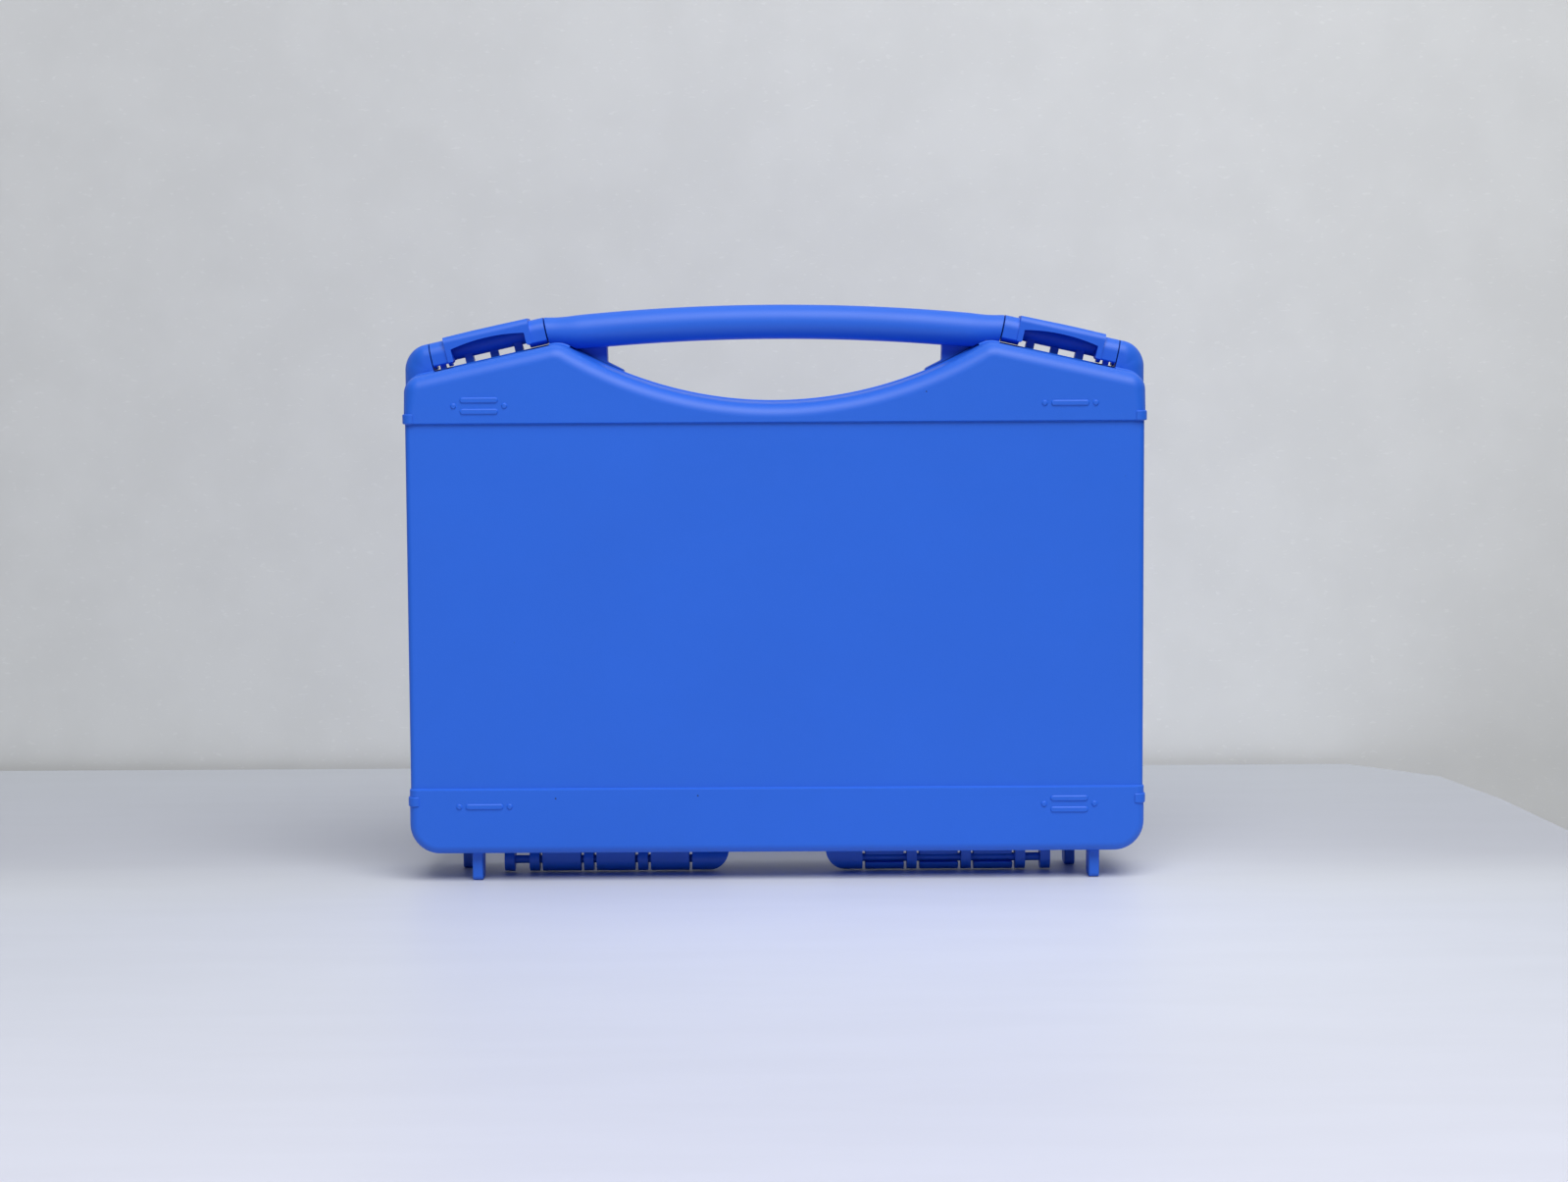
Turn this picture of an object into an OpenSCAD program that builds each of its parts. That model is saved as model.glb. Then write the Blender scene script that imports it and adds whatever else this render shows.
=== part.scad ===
// Hard tool case of moulded plastic. Two like half shells meet at the parting plane and hinge along
// the bottom on clips that snap over moulded rods. A bow handle runs along the top of the rear half,
// and a latch turns on each of its two tilted bars to hold the front half shut.
// Millimetres. X runs along the width, -Y is the front (the lid), +Z is up. The origin is on the
// floor, midway along the width, in the parting plane.

/* [Shells] */
// Width over the flat sides at the parting plane
case_w = 302; // [280:1:330]
// Depth of the closed case over its two raised bands
case_d = 52; // [48:1:64]
// Height of the bottom wall above the floor, which is also the height of the feet
floor_gap = 11.1; // [10.6:0.1:14]
// Height of a side wall, from the bottom wall to where the top slope meets it
side_h = 195.2; // [180:0.1:220]
// How much each half tapers from the parting plane to its panel, per side
draft = 0.9; // [0.4:0.1:1.5]
// Wall thickness
wall = 2.4; // [1.8:0.1:3]
// Radius of the two bottom corners
bottom_r = 13; // [8:0.5:20]
// Radius of the shoulders, where a side turns into the top slope
shoulder_r = 8; // [7.5:0.1:10]
// Radius of the rounded peaks either side of the hand opening
peak_r = 10; // [8:0.5:14]
// Slope of the top from the shoulders up to the peaks, in degrees
slope = 12.6; // [10:0.1:14]
// Radius of the dipped rim under the grip
rim_r = 166; // [150:1:190]
// How far the middle of the dipped rim lies under the shoulder corner
rim_dip = 10.4; // [8:0.1:13]
// Edge rounding along the top of each half
edge_top = 6; // [4:0.25:6.5]
// Edge rounding along the sides and bottom of each half
edge_side = 3.6; // [2.5:0.1:5]
// How far the bead along the parting line stands out
bead = 0.4; // [0.2:0.05:0.7]
// Depth of the bead on each half
bead_d = 3.5; // [2:0.1:5]
// Gap between the two halves when shut
parting_gap = 0.3; // [0.2:0.05:0.5]

/* [Panel and raised marks] */
// Height of the upper raised band's lower edge above the bottom wall
band_top = 176.5; // [165:0.5:178]
// Height of the lower raised band's upper edge above the bottom wall
band_bottom = 27.5; // [26:0.5:40]
// How far the panel lies back from the two bands
recess = 1.2; // [0.6:0.1:1.8]
// How far the panel's stretch of the side walls lies in from the bands
side_inset = 0.5; // [0.3:0.05:1]
// Height of the short rib where each band meets the side
rib_h = 4; // [3:0.1:5]
// How far the short ribs and the stacking marks stand out
mark_proud = 0.5; // [0.3:0.05:0.8]
// How far a short rib wraps from the side onto the front
rib_wrap = 4.8; // [3:0.1:7]
// Distance of the stacking marks from the middle
mark_x = 119.4; // [108:0.1:122]
// Height of the upper marks over the edge of their band
mark_rise = 7.2; // [6:0.1:9]
// Drop of the lower marks under the edge of their band
mark_drop = 7.1; // [6:0.1:9]
// Length of one marking bar
mark_l = 15.4; // [12:0.1:18]
// Width of one marking bar
mark_w = 2.3; // [1.6:0.1:3]
// Distance between the two bars of a double mark
mark_pitch = 4.6; // [4:0.1:6]

/* [Feet] */
// Width of a foot
foot_w = 4.3; // [3.5:0.1:6]
// Depth of a foot, front to back
foot_d = 11.5; // [8:0.1:14]
// Distance of a foot's inner face from the parting plane
foot_y = 8.5; // [7:0.1:10]
// Distance of the inner foot of each half from the middle
foot_inner = 123.2; // [120:0.1:124]
// Distance of the outer foot of each half from the middle
foot_outer = 130.3; // [129.5:0.1:134]

/* [Hinge] */
// How far the hinge axis lies under the bottom wall
hinge_drop = 5.8; // [5.6:0.05:6.2]
// Gap between a knuckle and the bead that swings past it
hinge_gap = 0.5; // [0.3:0.05:0.7]
// Diameter of the moulded hinge rod
rod_d = 3.4; // [3:0.1:4]
// Radial clearance of the rod in its clips
rod_fit = 0.06; // [0.04:0.01:0.1]
// Height of the mouth that lets a clip snap over the rod
mouth_h = 2.9; // [2.6:0.05:2.95]
// Distance of the innermost post's inner end from the middle
hinge_start = 20.1; // [16:0.1:26]
// Length of the innermost post with its rounded end
end_post_l = 15.4; // [12:0.1:18]
// Length of one clip
clip_l = 16.1; // [12:0.1:16.5]
// Side gap between a clip and the posts beside it
clip_gap = 1.2; // [0.6:0.1:1.6]
// Length of a post between two clips
post_l = 4.1; // [3:0.1:5]
// Bare stretch of rod between the last two posts
bare_rod = 6.3; // [4:0.1:8]

/* [Bow handle] */
// Clear height for the fingers between the rim and the grip
finger_gap = 25.1; // [22:0.1:30]
// Height of the grip
grip_h = 14.1; // [12:0.1:17]
// Depth of the grip, front to back
grip_d = 19; // [17:0.1:24]
// Radius to which the grip is arched
grip_arc = 850; // [600:10:1200]
// Length over which each end of the grip narrows to the bow's section
grip_blend = 15; // [12:0.5:18]
// Height of the bow's section beside the latches, and of the latch collars
bow_h = 9.8; // [9:0.1:10.6]
// Depth of the bow's section beside the latches, and of the latch collars
bow_d = 16; // [14:0.1:18]
// Height of the latch axis over the top slope, square to it
bar_rise = 6.7; // [6.5:0.05:7.4]
// Radius inside the bow's elbows
elbow_in = 0.97; // [0.6:0.01:2]
// How far the elbows reach out past the sides
elbow_out = 1.27; // [1:0.01:2]
// Straight stretch of the bow between a latch and its elbow
elbow_run = 1.65; // [1:0.05:4]
// How far an elbow's skirt reaches down past the shoulder corner
elbow_skirt = 3.4; // [2:0.1:6]
// Diameter of the bar that a latch turns on
bar_d = 7.6; // [7:0.1:8]
// Width of the brackets between a bar and the rear half
bracket_w = 3.3; // [2.5:0.1:4.5]
// Distance of the two deep brackets from the middle one
bracket_pitch = 10.4; // [8:0.1:12]
// Offset of the bracket row from the bar's middle, towards the grip
bracket_shift = 0.7; // [0:0.1:1.5]
// Distance of the grip posts' inner faces from the middle
grip_post_x = 68.1; // [62:0.1:74]
// Length of the grip posts, inner face to outer face
grip_post_l = 14; // [8:0.1:15]
// How far the flared foot of a grip post reaches inwards
flare = 7; // [4:0.1:9]

/* [Latches] */
// Length of a latch
latch_l = 47.7; // [44:0.1:50]
// Gap at each end of a latch
latch_gap = 0.5; // [0.3:0.05:0.8]
// Radial clearance of a latch on its bar
latch_fit = 0.06; // [0.04:0.01:0.1]
// Half length of the raised cover between the collars
cover_half = 17.8; // [16.5:0.1:18.4]
// Height of the cover's crown over the latch axis
crown_h = 6.1; // [5.9:0.1:7]
// Radius to which the cover is crowned
crown_r = 800; // [400:10:1200]
// Radius of the collars' front edge along the top
brow_r = 5.5; // [5:0.1:6.5]
// How far the cover stands out from the collars at the front
cover_proud = 0.7; // [0.3:0.05:1]
// Half width of the finger arch
arch_half = 15.4; // [13:0.1:15.8]
// Height of the finger arch's crown over the latch axis
arch_h = 2; // [1.5:0.1:2.6]
// Radius of the finger arch's crown
arch_r = 75; // [60:1:100]
// Radius of the flared corners at the foot of the finger arch
arch_flare = 1; // [0.6:0.1:1.6]
// Thickness of the latch's front skirt
skirt_t = 1.6; // [1.2:0.1:2.2]
// Width of the catch peg on the front half
catch_w = 2.4; // [1.8:0.1:3.2]
// How far the catch nose reaches over the latch's lip
catch_bite = 0.4; // [0.3:0.05:0.5]

/* [Hidden] */
$fn = 48;
blue = "royalblue";
cut = 1; // how far a cutting shape runs past what it cuts
far = 400; // longer than the case in any direction

half_d = case_d / 2;
half_w = case_w / 2;
shoulder_z = floor_gap + side_h;
rim_z = shoulder_z - rim_dip;
band_top_z = floor_gap + band_top;
band_bottom_z = floor_gap + band_bottom;

// The outline of a half, at the parting plane and without the bead, is a list of rows
// [arc centre, arc radius, direction of the outward normal, edge rounding]. A negative radius is
// the dipped rim. An outline moved out by d has the same centres and each radius longer by d.
rim_c = [0, rim_z + rim_r];
peak_turn = acos((rim_c.y * cos(slope) - half_w * sin(slope) - shoulder_z * cos(slope) + peak_r)
                 / (rim_r + peak_r)) - slope;
peak_c = rim_c + (rim_r + peak_r) * [sin(peak_turn), -cos(peak_turn)];
bottom_c = [half_w - bottom_r, floor_gap + bottom_r];
shoulder_c = [half_w - shoulder_r,
              shoulder_z + (shoulder_r * sin(slope) - shoulder_r) / cos(slope)];

function arc(c, r, from, to, steps, edge) =
    [for (i = [0:steps]) [c, r, from + (to - from) * i / steps, edge]];
function mirrored(rows) =
    [for (i = [len(rows) - 1:-1:0]) let (v = rows[i]) [[-v[0].x, v[0].y], v[1], 180 - v[2], v[3]]];
right_side = concat(arc(bottom_c, bottom_r, -90, 0, 7, edge_side),
                    arc(shoulder_c, shoulder_r, 0, 90 - slope, 5, edge_top),
                    arc(peak_c, peak_r, 90 - slope, 90 + peak_turn, 5, edge_top));
dipped_rim = arc(rim_c, -rim_r, 90 + peak_turn, 90 - peak_turn, 24, edge_top);
outline = concat(right_side, dipped_rim, mirrored(right_side));

function outset(v, d) = v[0] + (v[1] + d) * [cos(v[2]), sin(v[2])];
function outline_2d(d) = [for (v = outline) outset(v, d)];

// Faces between rings of n points each, closed with a flat face at both ends
function ring_faces(rings, n) =
    concat([[for (i = [0:n - 1]) i]],
           [for (k = [0:rings - 2], i = [0:n - 1])
               let (a = k * n + i, b = k * n + (i + 1) % n) each [[a, b + n, b], [a, a + n, b + n]]],
           [[for (i = [n - 1:-1:0]) (rings - 1) * n + i]]);

module loft(rings) {
    n = len(rings[0]);
    polyhedron(points = [for (r = rings) each r], faces = ring_faces(len(rings), n), convexity = 6);
}

// Solid with the outline moved out by out_by, from y_from at the parting side to depth, with its
// draft and rounded front edge. rounding overrides the outline's own edge rounding, and lip is how
// far a bead of depth lip_d stands out at the parting side.
edge_steps = 4;
module half_solid(out_by, depth, rounding = undef, lip = 0, lip_d = bead_d, y_from = -parting_gap / 2) {
    tapers = function(y) -draft * abs(y) / half_d;
    lip_rings = lip > 0
        ? [[for (v = outline) outset3(v, lip, y_from)],
           [for (v = outline) outset3(v, lip, -lip_d)],
           [for (v = outline) outset3(v, out_by + tapers(lip_d + lip), -lip_d - lip)]]
        : [[for (v = outline) outset3(v, out_by, y_from)]];
    edge_rings = [for (k = [0:edge_steps])
        let (a = 90 * k / edge_steps)
        [for (v = outline)
            let (r = is_undef(rounding) ? v[3] : rounding, y = depth - r * (1 - sin(a)))
            outset3(v, out_by + tapers(depth - r) - r * (1 - cos(a)), -y)]];
    loft(concat(lip_rings, edge_rings));
}
function outset3(v, d, y) = let (p = outset(v, d)) [p.x, y, p.y];

// Everything in front of, and wider than, the case between two heights
module height_slab(z0, z1) {
    translate([-far / 2, -far / 2, z0]) cube([far, far, z1 - z0]);
}

// One marking bar or dot, raised from the front band with bevelled edges
mark_foot = 0.2; // how much wider a mark is at its foot
mark_face = 0.3; // how much narrower it is at its face
dot_offset = 2.6; // distance of a dot's centre from the end of its bar
module raised_mark(length) {
    hull() {
        for (side = [-1, 1]) {
            translate([side * (length - mark_w) / 2, 0, 0])
                cylinder(d1 = mark_w + mark_foot, d2 = mark_w - mark_face, h = mark_proud + cut, $fn = 12);
        }
    }
}
module stacking_mark(x, z, bars) {
    translate([x, -half_d + cut, z]) rotate([90, 0, 0]) {
        for (i = [0:bars - 1]) {
            translate([0, (i - (bars - 1) / 2) * mark_pitch, 0]) raised_mark(mark_l);
        }
        for (side = [-1, 1]) {
            translate([side * (mark_l / 2 + dot_offset), 0, 0])
                cylinder(d1 = mark_w + mark_foot, d2 = mark_w - mark_face, h = mark_proud + cut, $fn = 12);
        }
    }
}

// One half as the lid stands: open towards +Y, its panel towards -Y. The solid that the panel's stretch
// is cut to has a wider and deeper bead than the outer solid, so the bead runs on unbroken.
panel_edge = 2.4; // edge rounding of the panel
cavity_edge = 2; // edge rounding inside
rib_drop = 3; // how far the lower short rib's top lies under the edge of its band
module half_shell() {
    panel_depth = half_d - recess;
    difference() {
        union() {
            intersection() {
                half_solid(0, half_d, lip = bead);
                union() {
                    height_slab(band_top_z, far);
                    height_slab(0, band_bottom_z);
                    half_solid(-side_inset, panel_depth, panel_edge, 2 * bead, bead_d + bead / 4);
                }
            }
            intersection() {
                half_solid(mark_proud, half_d + mark_proud / 2);
                for (side = [-1, 1], z = [band_top_z, band_bottom_z - rib_drop - rib_h]) {
                    translate([side * half_w - rib_wrap, -far / 2, z])
                        cube([2 * rib_wrap, far, rib_h]);
                }
            }
            stacking_mark(-mark_x, band_top_z + mark_rise, 2);
            stacking_mark(mark_x, band_top_z + mark_rise, 1);
            stacking_mark(-mark_x, band_bottom_z - mark_drop, 1);
            stacking_mark(mark_x, band_bottom_z - mark_drop, 2);
        }
        half_solid(-side_inset - wall, panel_depth - wall, cavity_edge, y_from = cut);
    }
}
module lid_shell() {
    color(blue) half_shell();
}
module base_shell() {
    color(blue) rotate([0, 0, 180]) half_shell();
}

// How far a half's outline has drawn in, draft against bead, at a distance y from the parting plane
function drawn_in(y) = abs(y) <= bead_d ? -bead : draft * abs(y) / half_d;

// Feet: upright pegs under the bottom wall, whose top face follows the wall's draft
module foot(x) {
    round_r = 2; // of the two lower edges
    translate([x - foot_w / 2, -foot_y - foot_d, 0]) rotate([90, 0, 90]) linear_extrude(foot_w) {
        polygon([[0, round_r], [foot_d, round_r], [foot_d, floor_gap + drawn_in(foot_y)],
                 [0, floor_gap + drawn_in(foot_y + foot_d)]]);
        translate([round_r, 0]) square([foot_d - 2 * round_r, floor_gap / 2]);
        for (y = [round_r, foot_d - round_r]) {
            translate([y, round_r]) circle(round_r);
        }
    }
}
module half_feet() {
    foot(-foot_inner);
    foot(foot_outer);
}
module lid_feet() {
    color(blue) half_feet();
}
module base_feet() {
    color(blue) rotate([0, 0, 180]) half_feet();
}

// Hinge. Each half carries clips on its left and a rod with posts on its right, as seen from its
// own front, so the rear half turned round meets the front one.
hinge_z = floor_gap - hinge_drop;
knuckle_r = hinge_drop - bead - hinge_gap;
clip_pitch = clip_l + post_l + 2 * clip_gap;
clips_start = hinge_start + end_post_l + clip_gap;
last_post = clips_start + 2 * clip_pitch + clip_l + clip_gap;
rod_end = last_post + post_l + bare_rod + post_l;
neck_inner = parting_gap / 2;

// Section of a post or clip of the front half, across the axis: x2 is Y and y2 is height over it
module knuckle_2d() {
    circle(knuckle_r);
    polygon([[-knuckle_r, 0], [-neck_inner, 0], [-neck_inner, hinge_drop - bead],
             [-bead_d, hinge_drop - bead],
             for (y = [bead_d + bead, knuckle_r]) [-y, hinge_drop + drawn_in(y)]]);
}
module along_x(x, length) {
    translate([x, 0, hinge_z]) rotate([90, 0, 90]) linear_extrude(length) children();
}
module half_hinge_rod() {
    difference() {
        along_x(hinge_start, end_post_l) knuckle_2d();
        translate([0, far / 2, 0]) rotate([90, 0, 0]) linear_extrude(far) difference() {
            translate([hinge_start - cut, 0]) square([knuckle_r * 2 + cut, hinge_z + knuckle_r]);
            translate([hinge_start + knuckle_r * 2, hinge_z + knuckle_r]) circle(knuckle_r * 2);
        }
    }
    for (x = [clips_start + clip_l + clip_gap, last_post - clip_pitch, last_post,
              last_post + post_l + bare_rod]) {
        along_x(x, post_l) knuckle_2d();
    }
    along_x(hinge_start + end_post_l / 2, rod_end - hinge_start - end_post_l / 2) circle(d = rod_d);
}
// A clip's back faces its own panel and its mouth faces the other half. The upper lip is short, so
// the rod shows above the lower one.
module half_clip(i) {
    lip_reach = rod_d / 2 + 0.6; // of the upper lip, from the axis
    along_x(-clips_start - clip_l - i * clip_pitch, clip_l) difference() {
        knuckle_2d();
        circle(rod_d / 2 + rod_fit);
        translate([0, -mouth_h / 2]) square([knuckle_r + cut, mouth_h]);
        translate([lip_reach, 0]) square([knuckle_r, knuckle_r + cut]);
    }
}
module lid_hinge_rod() {
    color(blue) half_hinge_rod();
}
module base_hinge_rod() {
    color(blue) rotate([0, 0, 180]) half_hinge_rod();
}
module lid_clip_inner() {
    color(blue) half_clip(0);
}
module lid_clip_middle() {
    color(blue) half_clip(1);
}
module lid_clip_outer() {
    color(blue) half_clip(2);
}
module base_clip_inner() {
    color(blue) rotate([0, 0, 180]) half_clip(0);
}
module base_clip_middle() {
    color(blue) rotate([0, 0, 180]) half_clip(1);
}
module base_clip_outer() {
    color(blue) rotate([0, 0, 180]) half_clip(2);
}

// Bow handle. The left latch axis is a line parallel to the left top slope. In its own frame x2
// runs up along it to the grip, y2 is Y and z2 is square to the slope.
seat_gap = 0.15; // between the bow and the rims under it
bow_r = bow_h / 2;
pivot_y = bow_d / 2 - bow_r;
bend_r = elbow_in + bow_r;
bend_x = half_w + elbow_out - bend_r - bow_r;
bend_z = shoulder_z + (half_w - bend_x) * tan(slope) + (bar_rise - bend_r) / cos(slope);
bar_half = latch_l / 2 + latch_gap;
axis_x = bend_x - (bar_half + elbow_run) * cos(slope) + bend_r * sin(slope);
axis_z = bend_z + (bar_half + elbow_run) * sin(slope) + bend_r * cos(slope);

module latch_frame(side) {
    mirror([side > 0 ? 1 : 0, 0, 0]) translate([-axis_x, 0, axis_z]) rotate([0, -slope, 0]) children();
}
module across(x, length) {
    translate([x, 0, 0]) rotate([90, 0, 90]) linear_extrude(length) children();
}

// The room that the two rims and their bead take up, with a small gap over them
module rim_room() {
    translate([0, far / 2, 0]) rotate([90, 0, 0]) linear_extrude(far)
        polygon(outline_2d(bead + seat_gap));
}

// Grip: stations from end to end, each [x, height, depth, middle z, tilt]
grip_top = rim_z + bead + finger_gap + grip_h;
grip_end_x = axis_x - bar_half * cos(slope);
grip_end_z = axis_z + bar_half * sin(slope);
grip_full_x = grip_end_x - grip_blend;
end_steps = 5;
mid_steps = 8;
function smooth(t) = t * t * (3 - 2 * t);
function station(x) =
    let (t = smooth(max(0, abs(x) - grip_full_x) / (grip_end_x - grip_full_x)),
         arch_z = grip_top - grip_h / 2 - x * x / (2 * grip_arc),
         arch_tilt = asin(abs(x) / grip_arc))
    [x, grip_h + (bow_h - grip_h) * t, grip_d + (bow_d - grip_d) * t,
     arch_z + (grip_end_z - arch_z) * t, sign(x) * (arch_tilt + (slope - arch_tilt) * t)];
grip_xs = concat([for (i = [0:end_steps - 1]) -grip_end_x + grip_blend * i / end_steps],
                 [for (i = [0:mid_steps]) grip_full_x * (2 * i / mid_steps - 1)],
                 [for (i = [1:end_steps]) grip_full_x + grip_blend * i / end_steps]);
function stadium_points(h, d, steps) =
    [for (side = [1, -1], i = [0:steps]) let (a = 180 * i / steps - 90 * side)
        [side * (d - h) / 2 + h / 2 * cos(a), h / 2 * sin(a)]];
function grip_ring(s) =
    [for (p = stadium_points(s[1], s[2], 12))
        [s[0] + p.y * sin(s[4]), p.x, s[3] + p.y * cos(s[4])]];

// A grip post stands on the rear rim and flares inwards along it
post_sunk = 4; // how far a post's top lies under the grip's middle, inside the grip
shank_rise = 2.6; // height over the rim at which the flare starts
flare_fall = 5; // from the flare's start to its tip
flare_bevel = 1; // where the flare starts
flare_tip = [0.8, 1.4]; // bevel at its tip
module grip_post(side) {
    top = grip_top - grip_h / 2 - post_sunk;
    shank_z = rim_z + rim_r - sqrt(pow(rim_r, 2) - pow(grip_post_x, 2)) + shank_rise;
    translate([0, half_d / 3, 0]) rotate([90, 0, 0])
        linear_extrude(half_d / 3 - 2 * seat_gap) mirror([side > 0 ? 0 : 1, 0]) difference() {
            polygon([[grip_post_x + grip_post_l, top], [grip_post_x, top],
                     [grip_post_x, shank_z + flare_bevel], [grip_post_x - flare_bevel, shank_z],
                     [grip_post_x - flare + flare_tip.x, shank_z - flare_fall + flare_tip.y],
                     [grip_post_x - flare, shank_z - flare_fall],
                     [grip_post_x - flare, rim_z], [grip_post_x + grip_post_l, rim_z]]);
            polygon(outline_2d(bead + seat_gap));
        }
}
module handle_grip() {
    color(blue) difference() {
        union() {
            loft([for (x = grip_xs) grip_ring(station(x))]);
            grip_post(-1);
            grip_post(1);
        }
        rim_room();
    }
}

// Bar that a latch turns on, with the brackets that stand on the rear half's bead
module bar(side) {
    latch_frame(side) {
        translate([0, pivot_y, 0]) across(-bar_half, 2 * bar_half) circle(d = bar_d);
        for (i = [-1:1]) {
            start = i == 0 ? bead_d / 2 : parting_gap;
            end = pivot_y + bar_d / 3;
            across(bracket_shift + i * bracket_pitch - bracket_w / 2, bracket_w)
                polygon([[start, 0], [start, -bar_rise + bead], [bead_d, -bar_rise + bead],
                         for (y = [bead_d + bead, end]) [y, -bar_rise - drawn_in(y)], [end, 0]]);
        }
    }
}
module handle_bar_left() {
    color(blue) bar(-1);
}
module handle_bar_right() {
    color(blue) bar(1);
}

// Elbow: the bow turns down outside the shoulder and its skirt wraps the corner of both rims. Rings
// of the bow's section follow it up the skirt, round the bend and along to the latch.
bend_steps = 9;
function bend_ring(turn, shift) =
    [for (p = stadium_points(bow_h, bow_d, 14)) let (r = bend_r + p.y)
        [shift.x - bend_x - r * cos(turn), p.x, shift.y + bend_z + r * sin(turn)]];
module elbow(side) {
    difference() {
        mirror([side > 0 ? 1 : 0, 0, 0])
            loft([bend_ring(0, [0, shoulder_z - elbow_skirt - bend_z]),
                  for (i = [0:bend_steps]) bend_ring((90 - slope) * i / bend_steps, [0, 0]),
                  bend_ring(90 - slope, elbow_run * [cos(slope), sin(slope)])]);
        rim_room();
    }
}
module handle_elbow_left() {
    color(blue) elbow(-1);
}
module handle_elbow_right() {
    color(blue) elbow(1);
}

// Latch. Its two collars clip round the bar, a crowned cover joins them, the front skirt has a
// finger arch, and a lip inside the outer collar snaps under the nose of the lid's catch peg.
lip_y = -bow_d / 2 + 2.1; // the lip's inner face
lip_z = -2.6; // the lip's top
pocket_y = -bow_d / 2 + 1.1; // the pocket's front wall, over the lip
pocket_top = 1;
catch_x = -latch_l / 2 + 3.55;
pocket_half = catch_w / 2 + 1.2;
bore_r = bar_d / 2 + latch_fit;
cover_front = -bow_d / 2 - cover_proud;
cover_back = bow_d / 2 + 0.2;
cover_edge = 2.8; // rounding of the cover's two long edges
skirt_drop = 4.4; // how far the cover's front reaches down under the latch axis
toe_r = 0.8; // radius of the collars' front edge along the bottom
roof_z = 4.4; // ceiling of the channel
rear_top = 2.5; // top of the rear opening
rear_wall = 1.2; // thickness of the cover's rear wall
mouth_half = 3.1; // half the width of a collar's mouth

// Section of a collar: round behind, where it clips round the bar, upright in front
module collar_2d() {
    front = -bow_d / 2;
    translate([pivot_y, 0]) circle(bow_r);
    translate([front + brow_r, bow_r - brow_r]) circle(brow_r);
    translate([front + toe_r, toe_r - bow_r]) circle(toe_r);
    polygon([[front, toe_r - bow_r], [front + toe_r, -bow_r], [pivot_y, -bow_r], [pivot_y, bow_r],
             [front + brow_r, bow_r], [front, bow_r - brow_r]]);
}

// Raised cover between the collars, turned about the far centre of its crown
module cover() {
    half_angle = asin(cover_half / crown_r);
    translate([0, 0, crown_h - crown_r]) rotate([-90, 0, 0]) rotate([0, 0, -90 - half_angle])
        rotate_extrude(angle = 2 * half_angle, $fn = 360) translate([crown_r - crown_h, 0]) {
            translate([0, cover_front]) square([crown_h - cover_edge, cover_back - cover_front]);
            translate([-skirt_drop, cover_front]) square([skirt_drop + cut, 2 * skirt_t]);
            translate([0, cover_front + cover_edge])
                square([crown_h, cover_back - cover_front - 2 * cover_edge]);
            for (y = [cover_front + cover_edge, cover_back - cover_edge]) {
                translate([crown_h - cover_edge, y]) circle(cover_edge, $fn = 48);
            }
        }
}
// Room for the catch peg in the outer collar: a pocket over a narrower mouth, round the bore's wall
module catch_pocket() {
    difference() {
        translate([catch_x - pocket_half, 0, 0]) {
            translate([0, pocket_y, lip_z])
                cube([2 * pocket_half, pivot_y - pocket_y, pocket_top - lip_z]);
            translate([0, lip_y, -bow_h]) cube([2 * pocket_half, pivot_y - lip_y, bow_h]);
        }
        translate([0, pivot_y, 0]) across(-bar_half, 2 * bar_half) circle(bow_r);
    }
}
module latch(side) {
    latch_frame(side) difference() {
        union() {
            across(-latch_l / 2, latch_l) collar_2d();
            cover();
        }
        translate([0, pivot_y, 0]) across(-bar_half, 2 * bar_half) circle(bore_r);
        // the channel over the bar, open below
        translate([-arch_half, cover_front + skirt_t, -bow_h])
            cube([2 * arch_half, cover_back - rear_wall - cover_front - skirt_t, bow_h + roof_z]);
        // the rear opening, which clears the brackets as the latch turns
        translate([-arch_half, 0, -bow_h]) cube([2 * arch_half, bow_d, bow_h + rear_top]);
        // the finger arch, with its flared foot
        rotate([90, 0, 0]) linear_extrude(bow_d) {
            intersection() {
                translate([-arch_half, -bow_h]) square([2 * arch_half, bow_h + arch_h]);
                translate([0, arch_h - arch_r]) circle(arch_r, $fn = 96);
            }
            difference() {
                foot_half = arch_half + arch_flare;
                translate([-foot_half, -bow_h]) square([2 * foot_half, bow_r + arch_flare]);
                for (side = [-1, 1]) {
                    translate([side * foot_half, arch_flare - bow_r]) circle(arch_flare);
                }
            }
        }
        // the mouths that let the collars snap over the bar
        translate([-bar_half, pivot_y - mouth_half, -bow_h])
            cube([2 * bar_half, 2 * mouth_half, bow_h]);
        catch_pocket();
    }
}
module latch_left() {
    color(blue) latch(-1);
}
module latch_right() {
    color(blue) latch(1);
}

// Catch peg on the lid's top slope, with a nose that hangs over the latch's lip
nose_h = 1.5; // of the peg's top over the nose's underside
nose_tip = 0.7; // height of the nose's blunt tip
nose_ramp = 1.1; // height at which the ramp over the tip ends
module catch_peg(side) {
    nose_z = lip_z + 0.1;
    nose_y = lip_y - catch_bite;
    front = lip_y + 0.3;
    back = front + 3;
    latch_frame(side) across(catch_x - catch_w / 2, catch_w) {
        polygon([[front, -bar_rise - drawn_in(front)],
                 [-bead_d - bead, -bar_rise - drawn_in(bead_d + bead)],
                 [-bead_d, -bar_rise + bead], [back, -bar_rise + bead], [back, nose_z + nose_h],
                 [front, nose_z + nose_h], [front, nose_z + nose_ramp],
                 [nose_y, nose_z + nose_tip], [nose_y, nose_z], [front, nose_z]]);
    }
}
module lid_catch_left() {
    color(blue) catch_peg(-1);
}
module lid_catch_right() {
    color(blue) catch_peg(1);
}

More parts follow.
